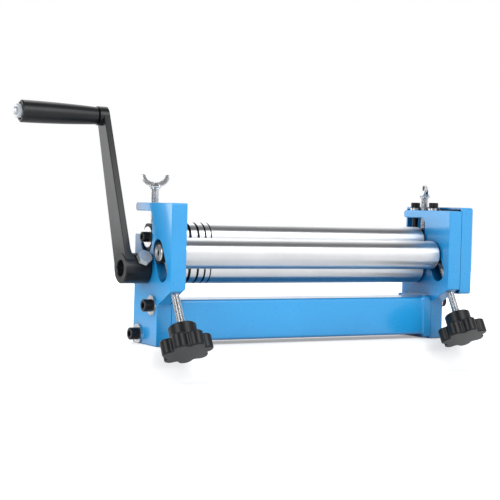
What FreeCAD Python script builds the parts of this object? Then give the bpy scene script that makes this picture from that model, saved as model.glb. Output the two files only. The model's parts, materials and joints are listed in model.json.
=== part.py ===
import FreeCAD
import Part
import math
import os

# Three-roller slip roll for a bench, about 300 mm wide.
# Millimetres. X runs along the rollers to the right, Y to the back, Z up.
# The origin is the middle of the left frame's foot, under the pinch rollers.

# Rollers
roller_diameter = 30.0
roller_length = 305.0
roller_end_gap = 1.5
roller_edge_round = 1.0
pinch_gap = 0.3
journal_diameter = 16.0
gear_seat_diameter = 14.0
centre_drill_diameter = 5.5
journal_past_frame = 0.5
journal_chamfer = 0.6
centre_drill_tip = 0.8

# Wire grooves near the left end of the two pinch rollers
groove_count = 4
first_groove_width = 3.0
groove_width_step = 0.5
first_groove_distance = 23.7
first_groove_spacing = 9.0
groove_spacing_step = 1.3

# Cast side frames
plate_thickness = 16.0
foot_depth = 53.0
nose_overhang = 28.5
nose_above_end_plate = 7.8
lower_axis_above_nose = 19.3
foot_corner_round = 1.0
outer_corner_round = 1.5
nose_slope_angle = 27.0
screw_angle = 29.0
rear_post_above_upper_axis = 2.6
top_lug_thickness = 8.0
top_lug_fillet = 7.0
corner_round = 3.0
casting_edge_round = 0.8
nose_inner_round = 5.0

# Sliding block of the upper roller
block_width = 23.0
block_top_above_axis = 13.0
block_travel_room = 12.1
block_corner_round = 1.0
block_bottom_below_axis = 15.5
block_lip_overlap = 2.0
block_recess = 2.6
bearing_lip = 1.2
slide_clearance = 0.1
cut_past = 1.0
thread_chamfer = 1.0
head_chamfer_share = 0.08
running_clearance = 0.05

# Bending roller and its inclined slot
bending_axis_back = -27.5
bending_axis_above_lower = 15.9
slot_above_axis = 3.3
slot_below_axis = 19.6
bush_outside_diameter = 20.0
bush_lip_overlap = 2.0
bush_flat_depth = 0.5

# Base beam: a square tube with welded end plates
beam_size = 40.0
beam_wall = 3.0
beam_centre_back = -4.5
beam_clear_of_floor = 4.5
end_plate_thickness = 8.0
end_plate_front = 26.5
end_plate_rear = 22.0
end_plate_clear_of_floor = 1.0
end_plate_above_beam = 2.0
weld_length = 5.0
weld_height = 1.8
weld_steps = 5
beam_corner_round = 3.0

# Frame bolts
beam_bolt_diameter = 8.0
beam_bolt_head_diameter = 12.0
beam_bolt_head_height = 8.0
beam_bolt_length = 24.5
beam_washer_diameter = 19.0
washer_thickness = 1.6
front_bolt_back = -15.6
front_bolt_below_end_plate_top = 7.5
rear_bolt_back = 14.1
rear_bolt_above_end_plate_foot = 8.4

# Small socket screws
small_screw_diameter = 6.0
small_head_diameter = 10.0
small_head_height = 6.0
tie_screw_spacing = 32.0
front_tie_screw_depth = 20.0
rear_tie_screw_grip = 10.0
tie_washer_diameter = 12.0
tie_washer_thickness = 2.4
end_washer_diameter = 20.0
end_screw_depth = 14.0
end_screw_short_of_hole = 1.0

# Gears
gear_module = 2.0
gear_teeth = 15
gear_width = 7.0
gear_addendum = 1.75
gear_dedendum = 2.45
gear_pressure_angle = 20.0
gear_flank_relief = 0.18
gear_gap_to_frame = 1.0
key_size = 4.0
circlip_thickness = 1.0
circlip_outside_diameter = 20.0
circlip_groove_depth = 0.7
circlip_opening = 6.0
shaft_past_circlip = 1.0

# Gear cover
cover_depth = 15.0
cover_wall = 2.0
cover_edge_round = 1.5
cover_above_frame = 3.8
cover_below_nose = 5.0
cover_behind_frame = 16.5
cover_pillar_diameter = 9.0
cover_screw_diameter = 5.0
cover_head_diameter = 9.5
cover_head_height = 2.8
cover_screw_grip = 10.0
cover_high_pillar_inset = 10.0
cover_high_pillar_drop = 10.0
cover_low_pillar_inset = 20.0
cover_low_pillar_rise = 2.0
cover_rear_pillar_inset = 6.5
cover_rear_pillar_rise = 5.2

# Crank
crank_length = 159.0
crank_lean = 21.5
hub_diameter = 29.5
hub_length = 26.4
hub_gap = 0.6
hub_proud = 0.8
hub_bore_chamfer = 0.7
shaft_recess_in_hub = 9.0
arm_thickness = 6.6
arm_inside_hub = 0.5
arm_end_diameter = 19.0
arm_web = 5.0
arm_edge_round = 0.8
clamp_bolt_from_frame = 8.6
clamp_bolt_angle = 36.0
clamp_bolt_across_flats = 13.0
clamp_bolt_head_height = 5.3
clamp_bolt_diameter = 8.0
clamp_bolt_stand_off = 1.2
clamp_flat_depth = 1.0

# Grip
grip_boss_length = 3.5
grip_length = 79.0
grip_inner_diameter = 17.2
grip_belly_diameter = 20.8
grip_outer_diameter = 21.8
grip_belly_place = 0.55
grip_edge = 1.2
grip_gap = 0.4
grip_recess_diameter = 16.6
grip_recess_depth = 2.6
spindle_diameter = 9.0
spindle_thread_diameter = 8.0
grip_nut_across_flats = 13.0
grip_nut_height = 6.6
stud_past_nut = 2.6

# Wing screws
wing_thread_diameter = 8.0
wing_collar_above_frame = 13.0
wing_collar_diameter = 11.5
wing_collar_height = 2.6
wing_collar_step = 0.9
wing_hub_height = 5.5
wing_span = 30.0
wing_height = 11.0
wing_thickness = 2.4
wing_tip_round = 3.3
wing_root_reach = 6.75
wing_root_round = 2.0
wing_saddle_reach = 4.5
wing_saddle_height = 4.4
left_wing_angle = -29.6
right_wing_angle = 60.4

# Star knobs and their screws
knob_thread_diameter = 8.0
knob_collar_diameter = 26.7
knob_collar_height = 13.5
knob_diameter = 49.3
knob_thickness = 14.5
knob_lobes = 7
knob_lobe_radius = 7.2
knob_valley_diameter = 39.2
left_knob_from_axis = 75.7
right_knob_from_axis = 69.3
left_knob_angle = 21.0
right_knob_angle = 2.0
knob_edge_round = 1.6
knob_collar_edge = 1.0
knob_screw_length = 78.0
screw_to_bush_gap = 0.1
socket_share_of_head = 0.5

# Places worked out from the sizes above
roller_radius = roller_diameter / 2
journal_radius = journal_diameter / 2
half_plate = plate_thickness / 2
inside_left = half_plate
inside_right = inside_left + roller_length + 2 * roller_end_gap
outside_left = -half_plate
outside_right = inside_right + plate_thickness
middle_of_right_frame = inside_right + half_plate
roller_start = inside_left + roller_end_gap
roller_end = roller_start + roller_length
end_plate_top = beam_clear_of_floor + beam_size + end_plate_above_beam
nose_height = end_plate_top + nose_above_end_plate
lower_axis_height = nose_height + lower_axis_above_nose
upper_axis_height = lower_axis_height + roller_diameter + pinch_gap
rear = foot_depth / 2
front = -foot_depth / 2 - nose_overhang
bending_axis_height = lower_axis_height + bending_axis_above_lower
rear_post_height = upper_axis_height + rear_post_above_upper_axis
block_top = upper_axis_height + block_top_above_axis
lug_bottom = block_top + block_travel_room
frame_height = lug_bottom + top_lug_thickness
front_bolt_height = end_plate_top - front_bolt_below_end_plate_top
rear_bolt_height = end_plate_clear_of_floor + rear_bolt_above_end_plate_foot
screw_slope = math.radians(screw_angle)
along_screw = FreeCAD.Vector(0, math.sin(screw_slope), math.cos(screw_slope))
bush_radius = bush_outside_diameter / 2
gear_start = outside_right + gear_gap_to_frame
gear_end = gear_start + gear_width
circlip_start = gear_end + slide_clearance
right_shaft_end = circlip_start + circlip_thickness + shaft_past_circlip
hub_outer = outside_left - hub_gap - hub_length
crank_slope = math.radians(crank_lean)
crank_pin_back = crank_length * math.sin(crank_slope)
crank_pin_height = lower_axis_height + crank_length * math.cos(crank_slope)
block_bottom = upper_axis_height - block_bottom_below_axis
notch_bottom = block_bottom - pinch_gap
half_notch = block_width / 2 + slide_clearance
tie_washer_top = frame_height + tie_washer_thickness


def point(x, y, z):
    return FreeCAD.Vector(x, y, z)


def bending_point(x, along):
    """A point on the inclined line through the bending roller's axis."""
    return point(x, bending_axis_back, bending_axis_height) + along_screw * along


def rod(diameter, start, end):
    """A round bar from one point to another."""
    axis = end - start
    return Part.makeCylinder(diameter / 2, axis.Length, start, axis)


def rod_x(diameter, x0, x1, y, z):
    return rod(diameter, point(x0, y, z), point(x1, y, z))


def rod_z(diameter, z0, z1, x, y):
    return rod(diameter, point(x, y, z0), point(x, y, z1))


def box(x0, x1, y0, y1, z0, z1):
    return Part.makeBox(x1 - x0, y1 - y0, z1 - z0, point(x0, y0, z0))


def turned(profile, origin, axis):
    """A turned piece: (distance along the axis, radius) points, closed on the axis."""
    first = (profile[0][0], 0)
    last = (profile[-1][0], 0)
    corners = [point(a, r, 0) for a, r in (first, *profile, last)]
    corners.append(corners[0])
    distinct = [corners[0]]
    for corner in corners[1:]:
        if (corner - distinct[-1]).Length > 1e-6:
            distinct.append(corner)
    face = Part.Face(Part.makePolygon(distinct))
    solid = face.revolve(point(0, 0, 0), point(1, 0, 0), 360)
    solid.Placement = FreeCAD.Placement(origin, FreeCAD.Rotation(point(1, 0, 0), axis))
    return solid


def rounded_face(corners, place):
    """A flat face through corners given as (u, v, radius), put in space by place(u, v)."""
    edges = []
    count = len(corners)
    last_end = None
    first_start = None
    for i in range(count):
        before = FreeCAD.Vector(*corners[i - 1][:2])
        here = FreeCAD.Vector(*corners[i][:2])
        after = FreeCAD.Vector(*corners[(i + 1) % count][:2])
        radius = corners[i][2]
        back = (before - here).normalize()
        ahead = (after - here).normalize()
        half_angle = back.getAngle(ahead) / 2
        reach = radius / math.tan(half_angle)
        start = here + back * reach
        end = here + ahead * reach
        bisector = (back + ahead).normalize()
        middle = here + bisector * (radius / math.sin(half_angle) - radius)
        if last_end is None:
            first_start = start
        elif (start - last_end).Length > 1e-6:
            edges.append(Part.LineSegment(place(last_end), place(start)).toShape())
        if radius > 0:
            arc = Part.Arc(place(start), place(middle), place(end))
            edges.append(arc.toShape())
        last_end = end
    if (first_start - last_end).Length > 1e-6:
        edges.append(Part.LineSegment(place(last_end), place(first_start)).toShape())
    return Part.Face(Part.Wire(edges))


def plate_x(corners, x0, x1):
    """A plate square to X from (y, z, radius) corners."""
    face = rounded_face(corners, lambda p: point(x0, p.x, p.y))
    return face.extrude(point(x1 - x0, 0, 0))


def face_edges(shape, x):
    """The edges that lie in the plane at x."""
    edges = []
    for edge in shape.Edges:
        bounds = edge.BoundBox
        if abs(bounds.XMin - x) < 1e-4 and abs(bounds.XMax - x) < 1e-4:
            edges.append(edge)
    return edges


def oblong(width, start, end, x0, x1):
    """A slot cutter along X, round at both ends."""
    direction = (end - start).normalize()
    side = FreeCAD.Vector(0, -direction.z, direction.y) * (width / 2)
    shift = point(x0 - start.x, 0, 0)
    low = start + shift
    high = end + shift
    middle = Part.Face(Part.makePolygon([low + side, high + side, high - side, low - side, low + side]))
    reach = point(x1 - x0, 0, 0)
    slot = middle.extrude(reach)
    slot = slot.fuse(rod(width, low, low + reach))
    return slot.fuse(rod(width, high, high + reach)).removeSplitter()


def mirrored(shape):
    """The same piece for the other frame, mirrored at the machine's middle."""
    middle = (inside_left + inside_right) / 2
    return shape.mirror(point(middle, 0, 0), point(1, 0, 0))


def group(shapes):
    return Part.makeCompound(shapes)


def hexagon(across_flats, start, end):
    """A hexagonal bar between two points."""
    axis = end - start
    radius = across_flats / math.sqrt(3)
    corners = []
    for i in range(7):
        turn = math.radians(60 * i)
        corners.append(point(0, radius * math.cos(turn), radius * math.sin(turn)))
    bar = Part.Face(Part.makePolygon(corners)).extrude(point(axis.Length, 0, 0))
    bar.Placement = FreeCAD.Placement(start, FreeCAD.Rotation(point(1, 0, 0), axis))
    return bar


def socket_screw(diameter, head_diameter, head_height, seat, tip):
    """A socket cap screw with its head's underside at seat and its point at tip."""
    inward = (tip - seat).normalize()
    top = seat - inward * head_height
    chamfer = diameter * head_chamfer_share
    head = turned(
        [(0, head_diameter / 2 - chamfer), (chamfer, head_diameter / 2), (head_height, head_diameter / 2)],
        top,
        inward,
    )
    length = (tip - seat).Length
    shank = turned(
        [(0, diameter / 2), (length - chamfer, diameter / 2), (length, diameter / 2 - chamfer)],
        seat,
        inward,
    )
    socket_depth = head_height * socket_share_of_head
    socket = hexagon(head_diameter * socket_share_of_head, top, top + inward * socket_depth)
    return head.fuse(shank).cut(socket)


def washer(outside, inside, thickness, start, axis):
    """A flat washer from start along axis."""
    direction = FreeCAD.Vector(axis).normalize()
    end = start + direction * thickness
    return rod(outside, start, end).cut(rod(inside, start - direction, end + direction))


# Side frames: cast plates with a forward nose, an inclined slot for the bending
# roller, a notch open to the back for the upper roller's block, and a top lug.
def nose_bottom():
    return nose_height - nose_overhang * math.tan(math.radians(nose_slope_angle))


def beam_bolt_places():
    return ((front_bolt_back, front_bolt_height), (rear_bolt_back, rear_bolt_height))


def tie_screw_places():
    """Each tie screw's place front to back, and the height of its tip."""
    half = tie_screw_spacing / 2
    return ((-half, frame_height - front_tie_screw_depth), (half, rear_post_height - rear_tie_screw_grip))


def frame_plate():
    corners = [
        (-foot_depth / 2, 0, foot_corner_round),
        (rear, 0, foot_corner_round),
        (rear, rear_post_height, outer_corner_round),
        (half_notch, rear_post_height, outer_corner_round),
        (half_notch, notch_bottom, half_notch),
        (-half_notch, notch_bottom, half_notch),
        (-half_notch, lug_bottom, top_lug_fillet),
        (rear, lug_bottom, corner_round),
        (rear, frame_height, corner_round),
        (front, frame_height, outer_corner_round),
        (front, nose_height, outer_corner_round),
        (-foot_depth / 2, nose_bottom(), corner_round),
    ]
    plate = plate_x(corners, outside_left, inside_left)
    rims = face_edges(plate, outside_left) + face_edges(plate, inside_left)
    plate = plate.makeFillet(casting_edge_round, rims)
    low = bending_point(outside_left, -slot_below_axis)
    high = bending_point(outside_left, slot_above_axis)
    slot_width = bush_outside_diameter + 2 * slide_clearance
    plate = plate.cut(oblong(slot_width, low, high, outside_left - cut_past, inside_left + cut_past))
    bush_hole = bush_outside_diameter + 2 * running_clearance
    plate = plate.cut(rod_x(bush_hole, outside_left - cut_past, inside_left + cut_past, 0, lower_axis_height))
    for y, z in beam_bolt_places():
        hole = beam_bolt_diameter + 2 * slide_clearance
        plate = plate.cut(rod_x(hole, outside_left - cut_past, inside_left + cut_past, y, z))
    wing_hole = wing_thread_diameter + 2 * running_clearance
    plate = plate.cut(rod_z(wing_hole, lug_bottom - cut_past, frame_height + cut_past, 0, 0))
    knob_hole = knob_thread_diameter + 2 * running_clearance
    below = bending_point(0, -left_knob_from_axis)
    plate = plate.cut(rod(knob_hole, below, bending_point(0, -slot_below_axis)))
    return plate


def left_frame():
    plate = frame_plate()
    nose = point(inside_left, front, nose_height)
    keep = nose_inner_round
    slope_length = nose_overhang / math.cos(math.radians(nose_slope_angle))
    relief = box(-keep, 0, -cut_past, slope_length, 0, keep)
    relief = relief.cut(rod(2 * keep, point(-keep, -2 * cut_past, keep), point(-keep, 2 * slope_length, keep)))
    relief.Placement = FreeCAD.Placement(nose, FreeCAD.Rotation(point(1, 0, 0), -nose_slope_angle))
    return plate.cut(relief)


def right_frame():
    plate = mirrored(frame_plate())
    for y, tip in tie_screw_places():
        hole = small_screw_diameter + 2 * slide_clearance
        plate = plate.cut(rod_z(hole, tip - cut_past, frame_height + cut_past, middle_of_right_frame, y))
    for y, z in cover_screw_places():
        hole = cover_screw_diameter + 2 * slide_clearance
        plate = plate.cut(rod_x(hole, outside_right - cover_screw_grip - cut_past, outside_right + cut_past, y, z))
    return plate


# Base beam: a square tube between two welded end plates, bolted to the frames.
def base_beam():
    half = beam_size / 2
    low = beam_clear_of_floor
    high = low + beam_size
    front_face = beam_centre_back - half
    rear_face = beam_centre_back + half
    tube_start = inside_left + end_plate_thickness
    tube_end = inside_right - end_plate_thickness

    def section(inset, radius, x):
        corners = [
            (front_face + inset, low + inset, radius),
            (rear_face - inset, low + inset, radius),
            (rear_face - inset, high - inset, radius),
            (front_face + inset, high - inset, radius),
        ]
        return rounded_face(corners, lambda p: point(x, p.x, p.y)).OuterWire

    def square(inset, radius, x0, x1):
        return Part.Face(section(inset, radius, x0)).extrude(point(x1 - x0, 0, 0))

    beam = square(0, beam_corner_round, tube_start - cut_past, tube_end + cut_past)
    for x0, x1, face, outward in (
        (inside_left, tube_start, tube_start, 1),
        (tube_end, inside_right, tube_end, -1),
    ):
        corners = [
            (-end_plate_front, end_plate_clear_of_floor, corner_round),
            (end_plate_rear, end_plate_clear_of_floor, corner_round),
            (end_plate_rear, end_plate_top, corner_round),
            (-end_plate_front, end_plate_top, corner_round),
        ]
        beam = beam.fuse(plate_x(corners, x0, x1))
        sections = [section(-weld_height, beam_corner_round + weld_height, face - outward * end_plate_thickness / 4)]
        for step in range(weld_steps + 1):
            share = step / weld_steps
            rise = weld_height * (1 - math.sqrt(1 - (1 - share) ** 2))
            sections.append(section(-rise, beam_corner_round + rise, face + outward * weld_length * share))
        beam = beam.fuse(Part.makeLoft(sections, True, True))
    beam = beam.removeSplitter()
    hollow_radius = beam_corner_round / 4
    beam = beam.cut(square(beam_wall, hollow_radius, tube_start, tube_end))
    for y, z in beam_bolt_places():
        hole = beam_bolt_diameter + 2 * slide_clearance
        beam = beam.cut(rod_x(hole, inside_left - cut_past, tube_start + cut_past, y, z))
        beam = beam.cut(rod_x(hole, tube_end - cut_past, inside_right + cut_past, y, z))
    return beam


def beam_bolts():
    seat = outside_left - washer_thickness
    bolts = []
    for y, z in beam_bolt_places():
        bolts.append(
            socket_screw(
                beam_bolt_diameter,
                beam_bolt_head_diameter,
                beam_bolt_head_height,
                point(seat, y, z),
                point(seat + beam_bolt_length, y, z),
            )
        )
    return group(bolts)


def beam_washers():
    rings = []
    hole = beam_bolt_diameter + 2 * slide_clearance
    for y, z in beam_bolt_places():
        start = point(outside_left, y, z)
        rings.append(washer(beam_washer_diameter, hole, washer_thickness, start, point(-1, 0, 0)))
    return group(rings)


# Tie screws in the right lug: the rear one reaches down across the open notch.
def tie_screws():
    screws = []
    for y, tip in tie_screw_places():
        screws.append(
            socket_screw(
                small_screw_diameter,
                small_head_diameter,
                small_head_height,
                point(middle_of_right_frame, y, tie_washer_top),
                point(middle_of_right_frame, y, tip),
            )
        )
    return group(screws)


def tie_washers():
    hole = small_screw_diameter + 2 * slide_clearance
    rings = []
    for y, _ in tie_screw_places():
        start = point(middle_of_right_frame, y, frame_height)
        rings.append(washer(tie_washer_diameter, hole, tie_washer_thickness, start, point(0, 0, 1)))
    return group(rings)


# Bearings
def lipped_bush(y, z):
    """A plain bush in the left frame with a lip against its inner face."""
    body = rod_x(bush_outside_diameter, outside_left, inside_left + bearing_lip, y, z)
    lip_diameter = bush_outside_diameter + 2 * bush_lip_overlap
    lip = rod_x(lip_diameter, inside_left, inside_left + bearing_lip, y, z)
    bore = journal_diameter + 2 * running_clearance
    hole = rod_x(bore, outside_left - cut_past, inside_left + bearing_lip + cut_past, y, z)
    return body.fuse(lip).cut(hole)


def lower_bush():
    return lipped_bush(0, lower_axis_height)


def bending_bush():
    bush = lipped_bush(bending_axis_back, bending_axis_height)
    seat = bending_point(0, -bush_radius)
    wide = 2 * bush_radius
    flat = Part.makeBox(wide, wide, wide, point(-bush_radius, -bush_radius, bush_flat_depth - wide))
    flat.Placement = FreeCAD.Placement(seat, FreeCAD.Rotation(point(0, 0, 1), along_screw))
    return bush.cut(flat)


def upper_block():
    """The upper roller's sliding block, with a lip against the frame's inner face."""
    half = block_width / 2

    def outline(extra):
        reach = half + extra
        return [
            (-reach, block_bottom - extra, reach),
            (reach, block_bottom - extra, reach),
            (reach, block_top, block_corner_round),
            (-reach, block_top, block_corner_round),
        ]

    body = plate_x(outline(0), outside_left + block_recess, inside_left + bearing_lip)
    lip = plate_x(outline(block_lip_overlap), inside_left, inside_left + bearing_lip)
    bore = journal_diameter + 2 * running_clearance
    hole = rod_x(bore, outside_left, inside_left + bearing_lip + cut_past, 0, upper_axis_height)
    return body.fuse(lip).cut(hole)


# Rollers: ground steel bars with turned journals
def roller(left_steps, right_steps, axis_back, axis_height, grooved):
    """A roller from (x, radius) steps on each side of its working face."""
    chamfer = roller_edge_round
    profile = list(left_steps)
    profile.append((roller_start, roller_radius - chamfer))
    profile.append((roller_start + chamfer, roller_radius))
    if grooved:
        centre = inside_left + first_groove_distance
        for i in range(groove_count):
            half = (first_groove_width - i * groove_width_step) / 2
            for step in (-1, -0.5, 0, 0.5, 1):
                depth = half * math.sqrt(1 - step * step)
                profile.append((centre + step * half, roller_radius - depth))
            centre += first_groove_spacing - i * groove_spacing_step
    profile.append((roller_end - chamfer, roller_radius))
    profile.append((roller_end, roller_radius - chamfer))
    profile.extend(right_steps)
    return turned(profile, point(0, axis_back, axis_height), point(1, 0, 0))


def gear_end_steps():
    """The right journal, gear seat and circlip groove as (x, radius) steps."""
    seat_radius = gear_seat_diameter / 2
    neck_radius = seat_radius - circlip_groove_depth
    clip_end = circlip_start + circlip_thickness + slide_clearance
    return [
        (roller_end, journal_radius),
        (outside_right + gear_gap_to_frame, journal_radius),
        (outside_right + gear_gap_to_frame, seat_radius),
        (gear_end, seat_radius),
        (gear_end, neck_radius),
        (clip_end, neck_radius),
        (clip_end, seat_radius),
        (right_shaft_end, seat_radius),
    ]


def keyway(axis_height):
    """The key's slot in the gear seat, on the side away from the other gear."""
    away = -1 if axis_height == lower_axis_height else 1
    seat_radius = gear_seat_diameter / 2
    inner = axis_height + away * (seat_radius - key_size / 2)
    outer = axis_height + away * (seat_radius + key_size / 2)
    half = key_size / 2
    return (gear_start, gear_end, -half, half, min(inner, outer), max(inner, outer))


def gear_key(axis_height):
    x0, x1, y0, y1, z0, z1 = keyway(axis_height)
    fit = running_clearance / 2
    return box(x0 + fit, x1 - fit, y0 + fit, y1 - fit, z0 + fit, z1 - fit)


def lower_roller():
    crank_end = hub_outer + shaft_recess_in_hub
    edge = crank_end + thread_chamfer
    left = [(crank_end, journal_radius - thread_chamfer), (edge, journal_radius), (roller_start, journal_radius)]
    shaft = roller(left, gear_end_steps(), 0, lower_axis_height, True)
    flat = clamp_flat()
    return shaft.cut(box(*keyway(lower_axis_height))).cut(flat)


def upper_roller():
    left_end = outside_left + block_recess + slide_clearance
    left = [(left_end, journal_radius), (roller_start, journal_radius)]
    shaft = roller(left, gear_end_steps(), 0, upper_axis_height, True)
    hole_end = left_end + end_screw_depth
    hole = rod_x(small_screw_diameter + 2 * slide_clearance, left_end - cut_past, hole_end, 0, upper_axis_height)
    return shaft.cut(box(*keyway(upper_axis_height))).cut(hole)


def bending_roller():
    left_end = outside_left - journal_past_frame
    right_end = outside_right - journal_past_frame
    edge = journal_chamfer
    left = [(left_end, journal_radius - edge), (left_end + edge, journal_radius), (roller_start, journal_radius)]
    right = [(roller_end, journal_radius), (right_end - edge, journal_radius), (right_end, journal_radius - edge)]
    shaft = roller(left, right, bending_axis_back, bending_axis_height, False)
    for end, inward in ((left_end, 1), (right_end, -1)):
        start = point(end, bending_axis_back, bending_axis_height)
        wide = centre_drill_diameter / 2
        cone = Part.makeCone(wide, centre_drill_tip / 2, centre_drill_diameter, start, point(inward, 0, 0))
        shaft = shaft.cut(cone)
    return shaft


# Gears that turn the upper roller against the lower one
def involute_point(base_radius, radius, start_angle, side):
    spread = math.sqrt((radius / base_radius) ** 2 - 1)
    angle = start_angle + side * (spread - math.atan(spread))
    return point(gear_start, radius * math.sin(angle), radius * math.cos(angle))


def spur_gear(axis_height, tooth_at):
    """A spur gear; tooth_at is the angle of one tooth's middle from straight up."""
    pitch_radius = gear_module * gear_teeth / 2
    base_radius = pitch_radius * math.cos(math.radians(gear_pressure_angle))
    tip_radius = pitch_radius + gear_addendum
    root_radius = pitch_radius - gear_dedendum
    pitch_spread = math.tan(math.radians(gear_pressure_angle))
    pitch_involute = pitch_spread - math.radians(gear_pressure_angle)
    half_tooth = math.pi / (2 * gear_teeth) - gear_flank_relief / (2 * pitch_radius)
    tooth_pitch = 2 * math.pi / gear_teeth
    edges = []
    for i in range(gear_teeth):
        middle = math.radians(tooth_at) + i * tooth_pitch
        low = middle - half_tooth - pitch_involute
        high = middle + half_tooth + pitch_involute
        steps = [base_radius + (tip_radius - base_radius) * s / 3 for s in range(4)]
        rising = [involute_point(base_radius, r, low, 1) for r in steps]
        falling = [involute_point(base_radius, r, high, -1) for r in reversed(steps)]
        root_in = point(gear_start, root_radius * math.sin(low), root_radius * math.cos(low))
        root_out = point(gear_start, root_radius * math.sin(high), root_radius * math.cos(high))
        next_low = low + tooth_pitch
        gap_middle = (high + next_low) / 2
        root_mid = point(gear_start, root_radius * math.sin(gap_middle), root_radius * math.cos(gap_middle))
        root_next = point(gear_start, root_radius * math.sin(next_low), root_radius * math.cos(next_low))
        tip_mid = point(gear_start, tip_radius * math.sin(middle), tip_radius * math.cos(middle))
        edges.append(Part.LineSegment(root_in, rising[0]).toShape())
        edges.extend(Part.LineSegment(a, b).toShape() for a, b in zip(rising, rising[1:]))
        edges.append(Part.Arc(rising[-1], tip_mid, falling[0]).toShape())
        edges.extend(Part.LineSegment(a, b).toShape() for a, b in zip(falling, falling[1:]))
        edges.append(Part.LineSegment(falling[-1], root_out).toShape())
        edges.append(Part.Arc(root_out, root_mid, root_next).toShape())
    gear = Part.Face(Part.Wire(edges)).extrude(point(gear_width, 0, 0))
    gear.translate(point(0, 0, axis_height))
    bore = gear_seat_diameter + running_clearance
    gear = gear.cut(rod_x(bore, gear_start - cut_past, gear_end + cut_past, 0, axis_height))
    return gear.cut(box(*keyway(axis_height)))


def circlip(axis_height):
    """An open spring ring in the shaft's groove, outside the gear."""
    end = circlip_start + circlip_thickness
    inside = gear_seat_diameter - 2 * circlip_groove_depth + running_clearance
    ring = rod_x(circlip_outside_diameter, circlip_start, end, 0, axis_height)
    ring = ring.cut(rod_x(inside, circlip_start - cut_past, end + cut_past, 0, axis_height))
    half = circlip_opening / 2
    opening = box(circlip_start, end, 0, circlip_outside_diameter, axis_height - half, axis_height + half)
    return ring.cut(opening)


def upper_end_screw():
    seat = outside_left + block_recess - slide_clearance - washer_thickness
    start = point(seat, 0, upper_axis_height)
    tip = point(seat + end_screw_depth - end_screw_short_of_hole, 0, upper_axis_height)
    return socket_screw(small_screw_diameter, small_head_diameter, small_head_height, start, tip)


def upper_end_washer():
    seat = outside_left + block_recess - slide_clearance
    hole = small_screw_diameter + 2 * slide_clearance
    start = point(seat, 0, upper_axis_height)
    return washer(end_washer_diameter, hole, washer_thickness, start, point(-1, 0, 0))


# Gear cover on the right frame: a deep pressed box on three pillars
def cover_screw_places():
    return (
        (front + cover_high_pillar_inset, frame_height - cover_high_pillar_drop),
        (front + cover_low_pillar_inset, nose_height + cover_low_pillar_rise),
        (rear - cover_rear_pillar_inset, nose_height + cover_rear_pillar_rise),
    )


def gear_cover():
    top = frame_height + cover_above_frame
    bottom = nose_height - cover_below_nose
    back = rear + cover_behind_frame
    outer = outside_right + cover_depth

    def outline(inset):
        radius = corner_round - inset / 2
        return [
            (front + inset, bottom + inset, radius),
            (back - inset, bottom + inset, radius),
            (back - inset, top - inset, radius),
            (front + inset, top - inset, radius),
        ]

    cover = plate_x(outline(0), outside_right, outer)
    cover = cover.makeFillet(min(cover_edge_round, cover_wall), face_edges(cover, outer))
    cover = cover.cut(plate_x(outline(cover_wall), outside_right - cut_past, outer - cover_wall))
    for y, z in cover_screw_places():
        cover = cover.fuse(rod_x(cover_pillar_diameter, outside_right, outer - cover_wall, y, z))
    cover = cover.removeSplitter()
    for y, z in cover_screw_places():
        hole = cover_screw_diameter + 2 * slide_clearance
        cover = cover.cut(rod_x(hole, outside_right - cut_past, outer + cut_past, y, z))
    return cover


def cover_screws():
    outer = outside_right + cover_depth
    screws = []
    for y, z in cover_screw_places():
        screws.append(
            socket_screw(
                cover_screw_diameter,
                cover_head_diameter,
                cover_head_height,
                point(outer, y, z),
                point(outside_right - cover_screw_grip, y, z),
            )
        )
    return group(screws)


# Crank: hub and tapered arm in one casting, clamped by a hexagon bolt
def clamp_direction():
    turn = math.radians(clamp_bolt_angle)
    return FreeCAD.Vector(0, -math.cos(turn), math.sin(turn))


def clamp_start():
    return point(outside_left - clamp_bolt_from_frame, 0, lower_axis_height)


def clamp_flat():
    """The flat on the shaft that the clamp bolt bears on."""
    outward = clamp_direction()
    seat = clamp_start() + outward * (journal_radius - clamp_flat_depth)
    wide = clamp_bolt_diameter + 2 * clamp_flat_depth
    corner = point(-wide / 2, -journal_radius, 0)
    cutter = Part.makeBox(wide, journal_diameter, 2 * clamp_flat_depth, corner)
    cutter.Placement = FreeCAD.Placement(seat, FreeCAD.Rotation(point(0, 0, 1), outward))
    return cutter


def tapered_outline(extra, x0, x1):
    """The arm's outline: two round ends and the straight sides that touch both."""
    big = hub_diameter / 2 + extra
    small = arm_end_diameter / 2 + extra
    tilt = math.asin((big - small) / crank_length)
    along = point(0, math.sin(crank_slope), math.cos(crank_slope))
    across = point(0, math.cos(crank_slope), -math.sin(crank_slope))
    low = point(x0, 0, lower_axis_height)
    high = low + along * crank_length

    def rim(centre, radius, side):
        return centre + (across * (side * math.cos(tilt)) + along * math.sin(tilt)) * radius

    edges = [
        Part.Arc(rim(low, big, 1), low - along * big, rim(low, big, -1)).toShape(),
        Part.LineSegment(rim(low, big, -1), rim(high, small, -1)).toShape(),
        Part.Arc(rim(high, small, -1), high + along * small, rim(high, small, 1)).toShape(),
        Part.LineSegment(rim(high, small, 1), rim(low, big, 1)).toShape(),
    ]
    return Part.Face(Part.Wire(edges)).extrude(point(x1 - x0, 0, 0))


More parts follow.
